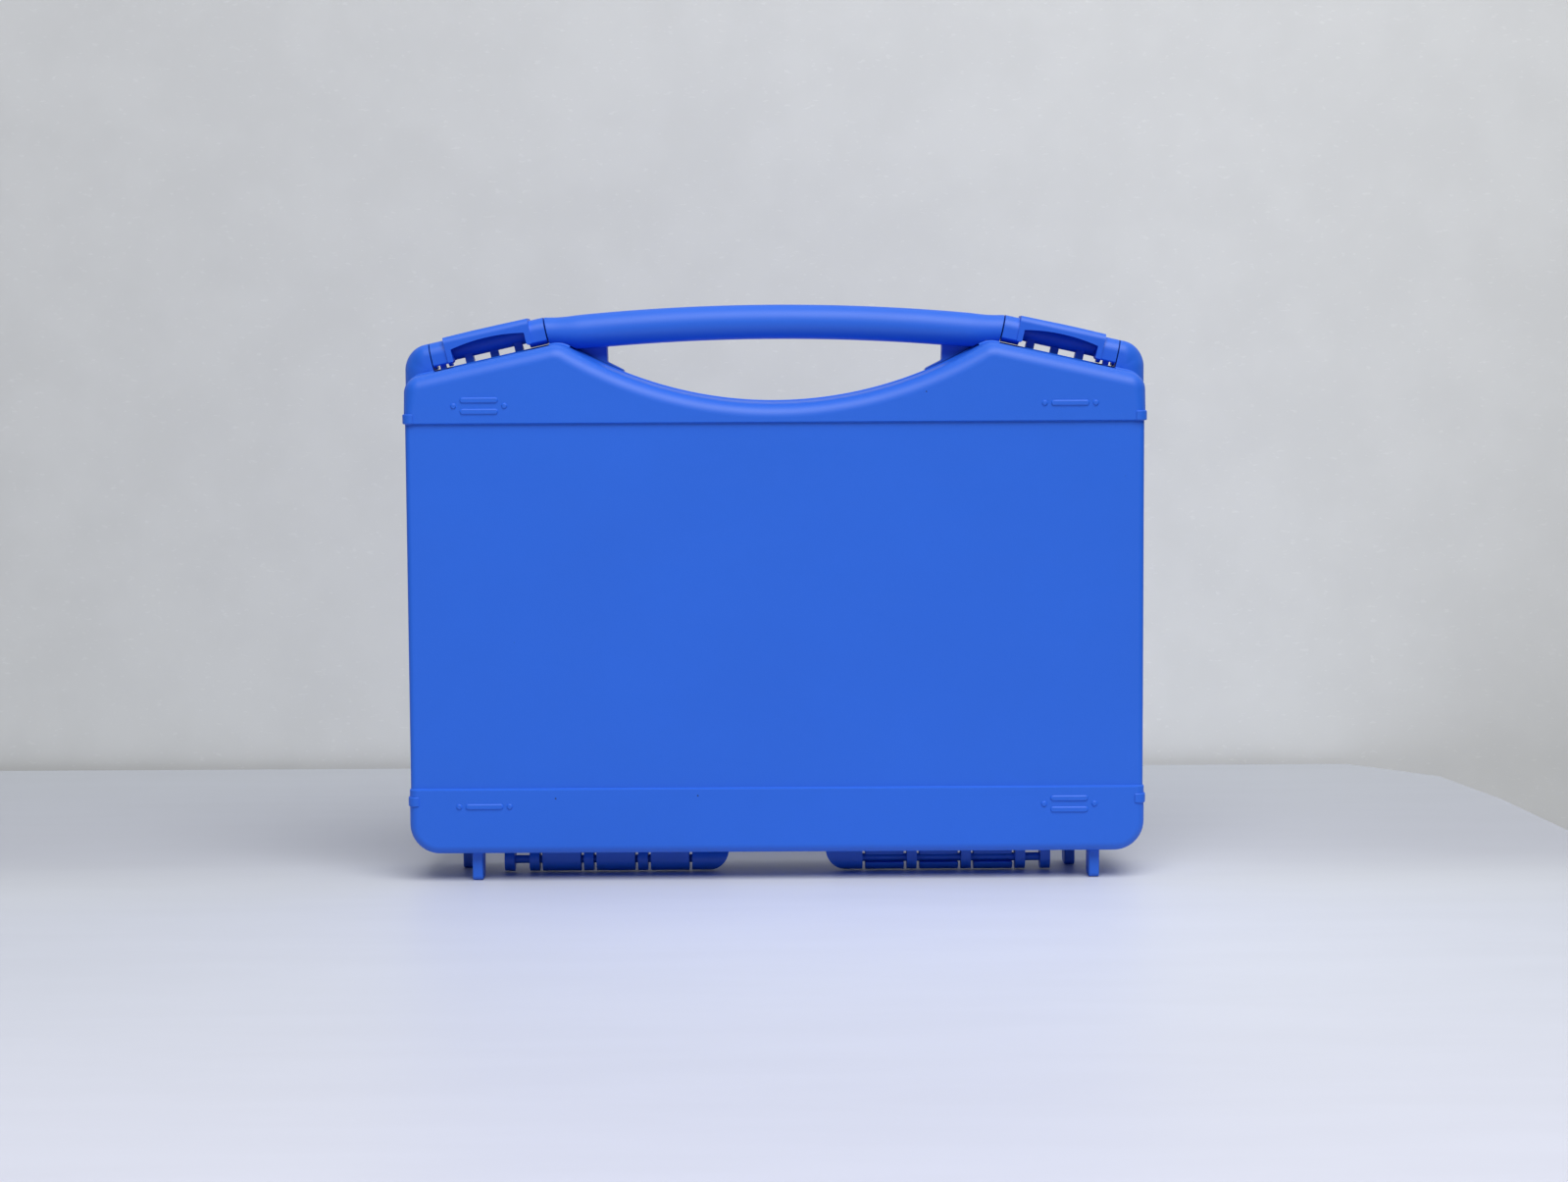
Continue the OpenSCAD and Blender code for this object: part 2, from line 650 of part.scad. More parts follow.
lid_shell();
base_shell();
lid_feet();
base_feet();
lid_hinge_rod();
base_hinge_rod();
lid_clip_inner();
lid_clip_middle();
lid_clip_outer();
base_clip_inner();
base_clip_middle();
base_clip_outer();
handle_grip();
handle_bar_left();
handle_bar_right();
handle_elbow_left();
handle_elbow_right();
latch_left();
latch_right();
lid_catch_left();
lid_catch_right();
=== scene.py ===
# Hard tool case of moulded plastic, dressed over the plain solids of its frame. Sizes are in
# millimetres and turn to metres where a mesh is made. X is the width, -Y the front, Z up.
from collections import namedtuple
from contextlib import contextmanager
from math import acos, cos, degrees, pi, radians, sin, sqrt, tan

import bmesh
import bpy
from mathutils import Matrix, Vector


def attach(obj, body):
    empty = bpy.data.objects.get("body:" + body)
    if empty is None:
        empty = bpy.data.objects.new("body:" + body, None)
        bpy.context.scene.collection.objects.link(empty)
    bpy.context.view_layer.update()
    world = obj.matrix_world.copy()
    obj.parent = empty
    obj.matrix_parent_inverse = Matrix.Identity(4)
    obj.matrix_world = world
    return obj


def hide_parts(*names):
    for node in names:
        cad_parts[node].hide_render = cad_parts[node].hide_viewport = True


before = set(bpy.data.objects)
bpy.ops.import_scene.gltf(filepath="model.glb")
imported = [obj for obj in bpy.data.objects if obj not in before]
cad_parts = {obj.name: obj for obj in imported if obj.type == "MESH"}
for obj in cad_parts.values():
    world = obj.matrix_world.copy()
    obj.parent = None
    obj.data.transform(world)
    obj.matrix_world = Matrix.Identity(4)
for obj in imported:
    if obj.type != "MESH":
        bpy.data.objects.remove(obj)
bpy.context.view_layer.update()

# ---------------------------------------------------------------------------------------------
# Camera: a long lens a little over the case, tipped down by a few degrees and level to a third
# of a degree.
PHOTO_WIDTH, FOCAL_PIXELS, SENSOR = 1599, 2786, 36.0
CAMERA_PLACE, CAMERA_DIP, CAMERA_ROLL, CAMERA_CLIP = (0.0034, -1.131, 0.2074), 4.56, 0.32, 0.01


def add_object(name, data):
    thing = bpy.data.objects.new(name, data)
    bpy.context.scene.collection.objects.link(thing)
    return thing


camera_data = bpy.data.cameras.new("camera")
camera_data.sensor_width = SENSOR
camera_data.lens = FOCAL_PIXELS / PHOTO_WIDTH * SENSOR
camera_data.clip_start = CAMERA_CLIP
camera = add_object("camera", camera_data)
camera.matrix_world = (Matrix.Translation(CAMERA_PLACE)
                       @ Matrix.Rotation(radians(90 - CAMERA_DIP), 4, "X")
                       @ Matrix.Rotation(radians(-CAMERA_ROLL), 4, "Z"))
bpy.context.scene.camera = camera

# ---------------------------------------------------------------------------------------------
# Plastic: polypropylene coloured through, so scratches show no other colour. The panels keep the
# fine spark grain of their mould, and the handle and latches come from smoother ones.
CASE_BLUE, CLOUD_TINT, ROUGH_SPREAD, PLASTIC_IOR = (0.011, 0.120, 0.665), 0.02, 0.06, 1.49
GRAIN_PER_M, CLOUD_PER_M, RUB_PER_M, RUB_STRETCH = 2600.0, 16.0, 55.0, (0.35, 1.0, 3.0)
GRAIN_DEPTH_M, NOISE_LOW, NOISE_HIGH = 0.0001, 0.3, 0.7
PALE_SPECK, DARK_SPECK = (0.55, 0.66, 0.90), (0.004, 0.012, 0.060)
# Each kind of speck: its colour, cells per metre, the share of cells with one, and its size in one.
SPECK_KINDS = ((DARK_SPECK, 310.0, 0.014, 0.11), (PALE_SPECK, 270.0, 0.009, 0.07))


def feed(tree, source, socket):
    """Links a socket to another, or gives it a plain value."""
    if isinstance(source, bpy.types.NodeSocket):
        tree.links.new(source, socket)
    else:
        socket.default_value = source


def node(tree, kind, at, **sources):
    """A new node, or a new use of a node group, with inputs fed by name (_ stands for a space)."""
    if isinstance(kind, str):
        n = tree.nodes.new(kind)
    else:
        n = tree.nodes.new("ShaderNodeGroup")
        n.node_tree = kind
    n.location = at
    for name, source in sources.items():
        feed(tree, source, n.inputs[name.replace("_", " ")])
    return n


def math_node(tree, operation, at, a, b):
    n = node(tree, "ShaderNodeMath", at)
    n.operation = operation
    feed(tree, a, n.inputs[0])
    feed(tree, b, n.inputs[1])
    return n.outputs[0]


def colour_mix(tree, at, factor, a, b, blend="MIX"):
    """A blend of two colours, each a plain colour or a socket."""
    n = node(tree, "ShaderNodeMix", at)
    n.data_type, n.blend_type = "RGBA", blend
    for name, source in (("Factor", factor), ("A", a), ("B", b)):
        feed(tree, (*source, 1) if isinstance(source, tuple) else source, n.inputs[name])
    return n.outputs["Result"]


def new_group(name, tree_kind, inputs, outputs):
    """A node group, what its inputs give and what its outputs take. Each is (name, kind)."""
    g = bpy.data.node_groups.new(name, tree_kind)
    for way, sockets in (("INPUT", inputs), ("OUTPUT", outputs)):
        for label, kind in sockets:
            g.interface.new_socket(label, in_out=way, socket_type="NodeSocket" + kind)
    given, taken = node(g, "NodeGroupInput", (-1400, 0)), node(g, "NodeGroupOutput", (1600, 0))
    return g, given.outputs, taken.inputs


def grain_group():
    """Fine mould grain and the broad cloudiness of a large thin moulding."""
    g, given, taken = new_group(
        "mould_grain", "ShaderNodeTree",
        [("Place", "Vector"), ("Grain per metre", "Float"), ("Cloud per metre", "Float")],
        [("Height", "Float"), ("Cloud", "Float"), ("Rub", "Float")])
    place = given["Place"]
    fine = node(g, "ShaderNodeTexNoise", (-500, 200), Vector=place, Scale=given["Grain per metre"],
                Detail=2.0, Roughness=0.6)
    cloud = node(g, "ShaderNodeTexNoise", (-500, 0), Vector=place, Scale=given["Cloud per metre"],
                 Detail=3.0, Roughness=0.55)
    stretch = node(g, "ShaderNodeMapping", (-500, -250), Vector=place, Scale=RUB_STRETCH)
    rub = node(g, "ShaderNodeTexNoise", (-300, -250), Vector=stretch.outputs["Vector"],
               Scale=RUB_PER_M, Detail=5.0, Roughness=0.7)
    for name, noise in (("Height", fine), ("Cloud", cloud), ("Rub", rub)):
        feed(g, noise.outputs["Fac"], taken[name])
    return g


def speck_group():
    """Dust and tiny marks: dots at the middles of a few cells of a fine cell pattern."""
    g, given, taken = new_group(
        "specks", "ShaderNodeTree",
        [("Place", "Vector"), ("Cells per metre", "Float"), ("Share", "Float"), ("Size", "Float")],
        [("Mask", "Float")])
    cells = node(g, "ShaderNodeTexVoronoi", (-500, 0), Vector=given["Place"],
                 Scale=given["Cells per metre"])
    parts = node(g, "ShaderNodeSeparateColor", (-300, -150), Color=cells.outputs["Color"])
    chosen = math_node(g, "LESS_THAN", (-100, -150), parts.outputs["Red"], given["Share"])
    size = math_node(g, "MULTIPLY", (-100, -300), parts.outputs["Green"], given["Size"])
    near = math_node(g, "LESS_THAN", (100, 0), cells.outputs["Distance"], size)
    feed(g, math_node(g, "MULTIPLY", (300, 0), near, chosen), taken["Mask"])
    return g


GRAIN, SPECKS = grain_group(), speck_group()


def plastic(name, roughness, bump, specks=True):
    """The case's plastic at one roughness and strength of grain, with or without specks."""
    m = bpy.data.materials.new(name)
    m.use_nodes = True
    m.diffuse_color = (*CASE_BLUE, 1)
    t = m.node_tree
    t.nodes.clear()
    place = node(t, "ShaderNodeTexCoord", (-1300, 0)).outputs["Object"]
    grain = node(t, GRAIN, (-1000, 100), Place=place, Grain_per_metre=GRAIN_PER_M,
                 Cloud_per_metre=CLOUD_PER_M).outputs
    spread = node(t, "ShaderNodeMapRange", (-700, 200), Value=grain["Cloud"], From_Min=NOISE_LOW,
                  From_Max=NOISE_HIGH)
    dark, light = [tuple(c * k for c in CASE_BLUE) for k in (1 - CLOUD_TINT, 1 + CLOUD_TINT)]
    colour = colour_mix(t, (-400, 200), spread.outputs["Result"], dark, light)
    for k, (shade, cells, share, size) in enumerate(SPECK_KINDS if specks else ()):
        dots = node(t, SPECKS, (-700, -200 - 200 * k), Place=place, Cells_per_metre=cells,
                    Share=share, Size=size)
        colour = colour_mix(t, (-200 + 150 * k, 100), dots.outputs["Mask"], colour, shade)
    rough = node(t, "ShaderNodeMapRange", (-400, -100), Value=grain["Rub"],
                 To_Min=roughness - ROUGH_SPREAD, To_Max=roughness + ROUGH_SPREAD)
    relief = node(t, "ShaderNodeBump", (-100, -300), Height=grain["Height"], Strength=bump,
                  Distance=GRAIN_DEPTH_M)
    skin = node(t, "ShaderNodeBsdfPrincipled", (300, 0), Base_Color=colour, IOR=PLASTIC_IOR,
                Roughness=rough.outputs["Result"], Normal=relief.outputs["Normal"])
    node(t, "ShaderNodeOutputMaterial", (600, 0), Surface=skin.outputs["BSDF"])
    return m


case_plastic = plastic("case_plastic", roughness=0.50, bump=0.35)
handle_plastic = plastic("handle_plastic", roughness=0.52, bump=0.22, specks=False)
latch_plastic = plastic("latch_plastic", roughness=0.48, bump=0.18, specks=False)

# ---------------------------------------------------------------------------------------------
# Half shells: two like injection mouldings. Each is a shallow tray with a raised band at the top
# and bottom, a panel set back between them, and a bead along its open edge that is deeper where
# the handle sits on it.
CASE_W, CASE_D, FLOOR_GAP, SIDE_H = 302.0, 52.0, 11.1, 195.2
DRAFT, WALL, PARTING_GAP, LIP_R, FLOOR_R = 0.9, 2.4, 0.12, 0.12, 2.0
BOTTOM_R, SHOULDER_R, PEAK_R, SLOPE = 13.0, 8.0, 10.0, 12.6
RIM_R, RIM_DIP, EDGE_TOP, EDGE_SIDE, EDGE_PANEL = 166.0, 10.4, 6.0, 3.6, 2.4
BEAD, BEAD_D, RECESS, SIDE_INSET = 0.4, 3.5, 1.2, 0.5
BEAD_EDGE, BEAD_EDGE_H, BEAD_FOOT, BEAD_FOOT_H, BEAD_FOOT_RUN = 0.08, 0.15, 0.1, 0.25, 1.0
SEAT_TURN, SEAT_FADE_TURN = 20, 15
SEAT_D, ELBOW_SEAT_END, GRIP_SEAT_START, SEAT_FADE = 8.4, 5.2, 53.8, 0.4
BAND_TOP, BAND_BOTTOM, STEP_RUN, STEP_ROWS = 176.5, 27.5, 0.6, 6
MERGE, CREASE_DEG, NORMAL_WEIGHT = 0.002, 34, 50
HALF_D, HALF_W = CASE_D / 2, CASE_W / 2
SHOULDER_Z, RIM_Z = FLOOR_GAP + SIDE_H, FLOOR_GAP + SIDE_H - RIM_DIP
BAND_TOP_Z, BAND_BOTTOM_Z = FLOOR_GAP + BAND_TOP, FLOOR_GAP + BAND_BOTTOM
slope_c, slope_s = cos(radians(SLOPE)), sin(radians(SLOPE))
RIM_C = (0.0, RIM_Z + RIM_R)
PEAK_TURN = degrees(acos((RIM_C[1] * slope_c - HALF_W * slope_s - SHOULDER_Z * slope_c + PEAK_R)
                         / (RIM_R + PEAK_R))) - SLOPE
PEAK_C = ((RIM_R + PEAK_R) * sin(radians(PEAK_TURN)),
          RIM_C[1] - (RIM_R + PEAK_R) * cos(radians(PEAK_TURN)))
BOTTOM_C = (HALF_W - BOTTOM_R, FLOOR_GAP + BOTTOM_R)
SHOULDER_C = (HALF_W - SHOULDER_R, SHOULDER_Z + (SHOULDER_R * slope_s - SHOULDER_R) / slope_c)

# A row of the outline: the centre and radius of its arc, the direction that it faces, its edge
# rounding, how far it lies in the set-back panel, from 0 to 1, and how deep the bead is.
Row = namedtuple("Row", "centre radius turn edge panel bead")


def smooth(t):
    """An ease from 0 to 1 that starts and ends level."""
    return t * t * (3 - 2 * t)


def quarter(steps):
    """Evenly spaced angles from 0 to a right angle."""
    return [pi / 2 * k / steps for k in range(steps + 1)]


def arc_rows(centre, radius, start, end, steps, edge, bead=BEAD_D):
    return [Row(centre, radius, start + (end - start) * i / steps, edge, 0.0, bead)
            for i in range(steps + 1)]


def slope_row(along, bead):
    """A row on the straight slope, this far up from the shoulder."""
    centre = (SHOULDER_C[0] - along * slope_c, SHOULDER_C[1] + along * slope_s)
    return Row(centre, SHOULDER_R, 90 - SLOPE, EDGE_TOP, 0.0, bead)


def side_rows():
    """The straight side, with the two steps between the bands and the panel."""
    rises = [(k / STEP_ROWS, smooth(k / STEP_ROWS)) for k in range(STEP_ROWS + 1)]
    places = [(BAND_BOTTOM_Z + (t - 0.5) * STEP_RUN, w) for t, w in rises]
    places += [(BAND_TOP_Z + (t - 0.5) * STEP_RUN, 1 - w) for t, w in rises]
    return [Row((HALF_W - SHOULDER_R, z), SHOULDER_R, 0.0, EDGE_SIDE, w, BEAD_D) for z, w in places]


def mirrored(rows):
    return [row._replace(centre=(-row.centre[0], row.centre[1]), turn=180 - row.turn)
            for row in reversed(rows)]


bottom_rows = arc_rows(BOTTOM_C, BOTTOM_R, -90, 0, 12, EDGE_SIDE)
panel_rows = side_rows()
shoulder_rows = (arc_rows(SHOULDER_C, SHOULDER_R, 0, SEAT_FADE_TURN, 2, EDGE_TOP)
                 + arc_rows(SHOULDER_C, SHOULDER_R, SEAT_TURN, 90 - SLOPE, 8, EDGE_TOP, SEAT_D))
slope_rows = [slope_row(ELBOW_SEAT_END, SEAT_D), slope_row(ELBOW_SEAT_END + SEAT_FADE, BEAD_D),
              slope_row(GRIP_SEAT_START - SEAT_FADE, BEAD_D), slope_row(GRIP_SEAT_START, SEAT_D)]
peak_rows = arc_rows(PEAK_C, PEAK_R, 90 - SLOPE, 90 + PEAK_TURN, 10, EDGE_TOP, SEAT_D)
rim_rows = arc_rows(RIM_C, -RIM_R, 90 + PEAK_TURN, 90 - PEAK_TURN, 56, EDGE_TOP)
right_rows = bottom_rows + panel_rows + shoulder_rows + slope_rows + peak_rows
OUTLINE = right_rows + rim_rows + mirrored(right_rows)


def outset(row, out, y):
    """The point at this distance out from a row, at this depth."""
    (x, z), r, turn = row.centre, row.radius + out, radians(row.turn)
    return (x + r * cos(turn), y, z + r * sin(turn))


def taper(y):
    """How far the draft draws the side in at this depth."""
    return -DRAFT * abs(y) / HALF_D


def front_edge(out, depth, r, steps):
    """The rounding from a drafted side onto a face at this depth, as (distance out, y)."""
    return [(out + taper(depth - r) - r * (1 - cos(a)), r * (1 - sin(a)) - depth)
            for a in quarter(steps)]


def shell_profile(row):
    """One row's section through the wall, from the cavity's floor over the rim to the front."""
    inside, out, lip = -SIDE_INSET - WALL, -SIDE_INSET * row.panel, PARTING_GAP / 2
    depth, r = HALF_D - RECESS * row.panel, row.edge + (EDGE_PANEL - row.edge) * row.panel
    pts = front_edge(inside, HALF_D - RECESS - WALL, FLOOR_R, steps=5)[::-1]
    pts += [(inside, -lip - LIP_R), (inside + LIP_R, -lip),
            (BEAD - LIP_R, -lip), (BEAD, -lip - LIP_R),
            (BEAD, BEAD_EDGE_H - row.bead), (BEAD - BEAD_EDGE, -row.bead),
            (out + taper(row.bead) + BEAD_FOOT, -row.bead - BEAD),
            (out + taper(row.bead + BEAD_FOOT_RUN), -row.bead - BEAD - BEAD_FOOT_H)]
    pts += front_edge(out, depth, r, steps=9)
    return [outset(row, d, y) for d, y in pts]


@contextmanager
def editing(mesh):
    """Opens a mesh for editing and writes it back at the end of the block."""
    b = bmesh.new()
    b.from_mesh(mesh)
    yield b
    b.to_mesh(mesh)
    b.free()


def make_mesh(name, points, faces):
    """A mesh in metres from points in millimetres, closed, with its faces turned outwards."""
    mesh = bpy.data.meshes.new(name)
    mesh.from_pydata([(x / 1000, y / 1000, z / 1000) for x, y, z in points], [], faces)
    with editing(mesh) as b:
        bmesh.ops.remove_doubles(b, verts=b.verts, dist=MERGE / 1000)
        bmesh.ops.recalc_face_normals(b, faces=b.faces)
    return mesh


def soften(mesh):
    """Smooth faces, with a crease where two meet at more than the crease angle."""
    with editing(mesh) as b:
        for e in b.edges:
            e.smooth = len(e.link_faces) == 2 and e.calc_face_angle(0) < radians(CREASE_DEG)
        for f in b.faces:
            f.smooth = True
    return mesh


def show(name, mesh, material, body, replaced, turned=False):
    """Puts a mesh in the scene on its body, turned half round if it is the rear half's."""
    if turned:
        mesh.transform(Matrix.Rotation(pi, 4, "Z"))
    mesh.materials.clear()
    mesh.materials.append(material)
    piece = add_object(name, mesh)
    even = piece.modifiers.new("even_normals", "WEIGHTED_NORMAL")
    even.keep_sharp, even.weight = True, NORMAL_WEIGHT
    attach(piece, body)
    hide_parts(*replaced)


def half_shell_mesh(name):
    """The sections joined all round, the cavity's floor, and the front in bands across."""
    sections = [shell_profile(row) for row in OUTLINE]
    n, k = len(sections), len(sections[0])
    faces = [(i * k + j, (i + 1) % n * k + j, (i + 1) % n * k + j + 1, i * k + j + 1)
             for i in range(n) for j in range(k - 1)]
    faces.append([i * k for i in range(n)])
    front = [i * k + k - 1 for i in range(n)]
    low, high = len(bottom_rows), len(bottom_rows) + len(panel_rows) - 1
    faces += [(front[i], front[i + 1], front[n - 2 - i], front[n - 1 - i])
              for i in range(low, high)]
    faces.append(front[:low + 1] + front[n - 1 - low:])
    faces.append(front[high:n - high])
    return soften(make_mesh(name, [p for s in sections for p in s], faces))


for half, turned in (("lid", False), ("base", True)):
    show(half + "_half_shell", half_shell_mesh(half + "_half_shell"), case_plastic, half,
         [half + "_shell"], turned)

# ---------------------------------------------------------------------------------------------
# Short ribs and stacking marks, raised from each half in the mould. A rib wraps from the side onto
# the front at each end of the two bands, and sets of bars and dots key one case to the next.
MARK_PROUD, BURIED, RIB_BURIED, RIB_UNDER = 0.5, 1.0, 1.5, 0.05
RIB_H, RIB_WRAP, RIB_DROP, RIB_BEVEL, RIB_FLAT = 4.0, 4.8, 3.0, 0.36, 0.4
MARK_X, MARK_RISE, MARK_DROP, MARK_L, MARK_W, MARK_PITCH = 119.4, 7.2, 7.1, 15.4, 2.3, 4.6
DOT_OFFSET, MARK_FOOT = 2.6, 0.1
# A mark's side: how far each ring stands over the band, and how far out of the mark's own size.
MARK_SIDE = ((-BURIED, MARK_FOOT), (0.0, MARK_FOOT), (0.1, 0.06), (0.42, -0.3), (MARK_PROUD, -0.48))


def row_tree():
    """Copies of one form at even steps along a line."""
    g, given, taken = new_group(
        "copies_in_a_row", "GeometryNodeTree",
        [("Form", "Geometry"), ("Count", "Int"), ("Step", "Vector"), ("Material", "Material")],
        [("Row", "Geometry")])
    line = node(g, "GeometryNodeMeshLine", (-300, 150), Count=given["Count"], Offset=given["Step"])
    line.mode = "OFFSET"
    copies = node(g, "GeometryNodeInstanceOnPoints", (-50, 0), Points=line.outputs["Mesh"],
                  Instance=given["Form"])
    real = node(g, "GeometryNodeRealizeInstances", (180, 0), Geometry=copies.outputs["Instances"])
    paint = node(g, "GeometryNodeSetMaterial", (380, 0), Geometry=real.outputs["Geometry"],
                 Material=given["Material"])
    feed(g, paint.outputs["Geometry"], taken["Row"])
    return g


def grown(tree, mesh, **values):
    """The plain mesh that a geometry tree makes of a mesh, with its inputs set by name."""
    carrier = add_object("carrier", mesh)
    made = carrier.modifiers.new("grow", "NODES")
    made.node_group = tree
    for socket in tree.interface.items_tree:
        if socket.name in values:
            made[socket.identifier] = values[socket.name]
    carrier.update_tag()
    seen = carrier.evaluated_get(bpy.context.evaluated_depsgraph_get())
    result = bpy.data.meshes.new_from_object(seen)
    bpy.data.objects.remove(carrier)
    return result


def joined(name, meshes):
    """One mesh of several."""
    b = bmesh.new()
    for m in meshes:
        b.from_mesh(m)
    mesh = bpy.data.meshes.new(name)
    b.to_mesh(mesh)
    b.free()
    return mesh


def lofted(name, rings):
    """A closed mesh through rings of equally many points."""
    n = len(rings[0])
    faces = [(k * n + i, k * n + (i + 1) % n, (k + 1) * n + (i + 1) % n, (k + 1) * n + i)
             for k in range(len(rings) - 1) for i in range(n)]
    faces += [list(range(n)), list(range((len(rings) - 1) * n, len(rings) * n))]
    return make_mesh(name, [p for r in rings for p in r], faces)


def mark(x, z, length):
    """A bar or dot raised from the band, with a bevelled edge."""
    run, rings = (length - MARK_W) / 2, []
    turns = [pi * k / 10 - pi / 2 for k in range(11)]
    for height, grow in MARK_SIDE:
        y, r = -HALF_D - height, MARK_W / 2 + grow
        rings.append([(x + run + r * cos(a), y, z + r * sin(a)) for a in turns]
                     + [(x - run - r * cos(a), y, z - r * sin(a)) for a in turns])
    return lofted("mark", rings)


def side_rib(side, z):
    """A rib that follows the section of the side from the parting line round onto the front."""
    depth = HALF_D + MARK_PROUD - RIB_UNDER
    path = [(MARK_PROUD, -PARTING_GAP / 2)] + front_edge(MARK_PROUD, depth, EDGE_SIDE, steps=10)
    path += [(MARK_PROUD + taper(depth) - EDGE_SIDE - RIB_FLAT, -depth), (-RIB_WRAP, -depth)]
    section = [(0.0, RIB_BEVEL), (0.0, RIB_H - RIB_BEVEL), (-RIB_BEVEL, RIB_H),
               (-RIB_BURIED, RIB_H), (-RIB_BURIED, 0.0), (-RIB_BEVEL, 0.0)]
    rings = []
    for k, (d, y) in enumerate(path):
        a, b = path[max(k - 1, 0)], path[min(k + 1, len(path) - 1)]
        out = Vector((a[1] - b[1], b[0] - a[0])).normalized()
        rings.append([(side * (HALF_W + d + out.x * t), y + out.y * t, z + up)
                      for t, up in section])
    return lofted("rib", rings)


ROW = row_tree()
RIB_PLACES = (BAND_TOP_Z, BAND_BOTTOM_Z - RIB_DROP - RIB_H)
# Each set of marks: its middle, and how many bars it has between its two dots.
MARK_SETS = ((-MARK_X, BAND_TOP_Z + MARK_RISE, 2), (MARK_X, BAND_TOP_Z + MARK_RISE, 1),
             (-MARK_X, BAND_BOTTOM_Z - MARK_DROP, 1), (MARK_X, BAND_BOTTOM_Z - MARK_DROP, 2))
dot_reach = MARK_L / 2 + DOT_OFFSET
for half, turned in (("lid", False), ("base", True)):
    ribs = [side_rib(side, z) for side in (-1, 1) for z in RIB_PLACES]
    show(half + "_side_ribs", soften(joined(half + "_side_ribs", ribs)), case_plastic, half,
         [half + "_shell"], turned)
    marks = []
    for x, z, bars in MARK_SETS:
        marks.append(grown(ROW, mark(x, z + (bars - 1) * MARK_PITCH / 2, MARK_L), Count=bars,
                           Step=(0.0, 0.0, -MARK_PITCH / 1000), Material=case_plastic))
        marks.append(grown(ROW, mark(x - dot_reach, z, MARK_W), Count=2,
                           Step=(2 * dot_reach / 1000, 0.0, 0.0), Material=case_plastic))
    show(half + "_stacking_marks", soften(joined(half + "_stacking_marks", marks)), case_plastic,
         half, [half + "_shell"], turned)

# ---------------------------------------------------------------------------------------------
# Grip: the middle of the bow handle, a solid satin moulding on the rear half. It is swept along a
# shallow arch, narrows towards the latches, and sits on both rims at its ends.
FINGER_GAP, GRIP_H, GRIP_D, GRIP_ARC, GRIP_BLEND, GRIP_END_H = 25.1, 14.1, 19.0, 850.0, 15.0, 13.0
BOW_H, BOW_D, BAR_RISE, LATCH_L, LATCH_GAP, SEAT_GAP = 9.8, 16.0, 6.7, 47.7, 0.5, 0.05
ELBOW_IN, ELBOW_OUT, ELBOW_RUN = 0.97, 1.27, 1.65
GRIP_STATIONS, GRIP_ROUND, GRIP_FLATNESS = 97, 73, 3.0
WELD, BEVEL_DEG, HANDLE_BEVEL, CUTTER_HALF = 0.001, 38, 0.3, 60
BOW_R = BOW_H / 2
BEND_R = ELBOW_IN + BOW_R
BEND_X = HALF_W + ELBOW_OUT - BEND_R - BOW_R
BEND_Z = SHOULDER_Z + (HALF_W - BEND_X) * slope_s / slope_c + (BAR_RISE - BEND_R) / slope_c
BAR_HALF = LATCH_L / 2 + LATCH_GAP
AXIS_X = BEND_X - (BAR_HALF + ELBOW_RUN) * slope_c + BEND_R * slope_s
AXIS_Z = BEND_Z + (BAR_HALF + ELBOW_RUN) * slope_s + BEND_R * slope_c
GRIP_TOP = RIM_Z + BEAD + FINGER_GAP + GRIP_H


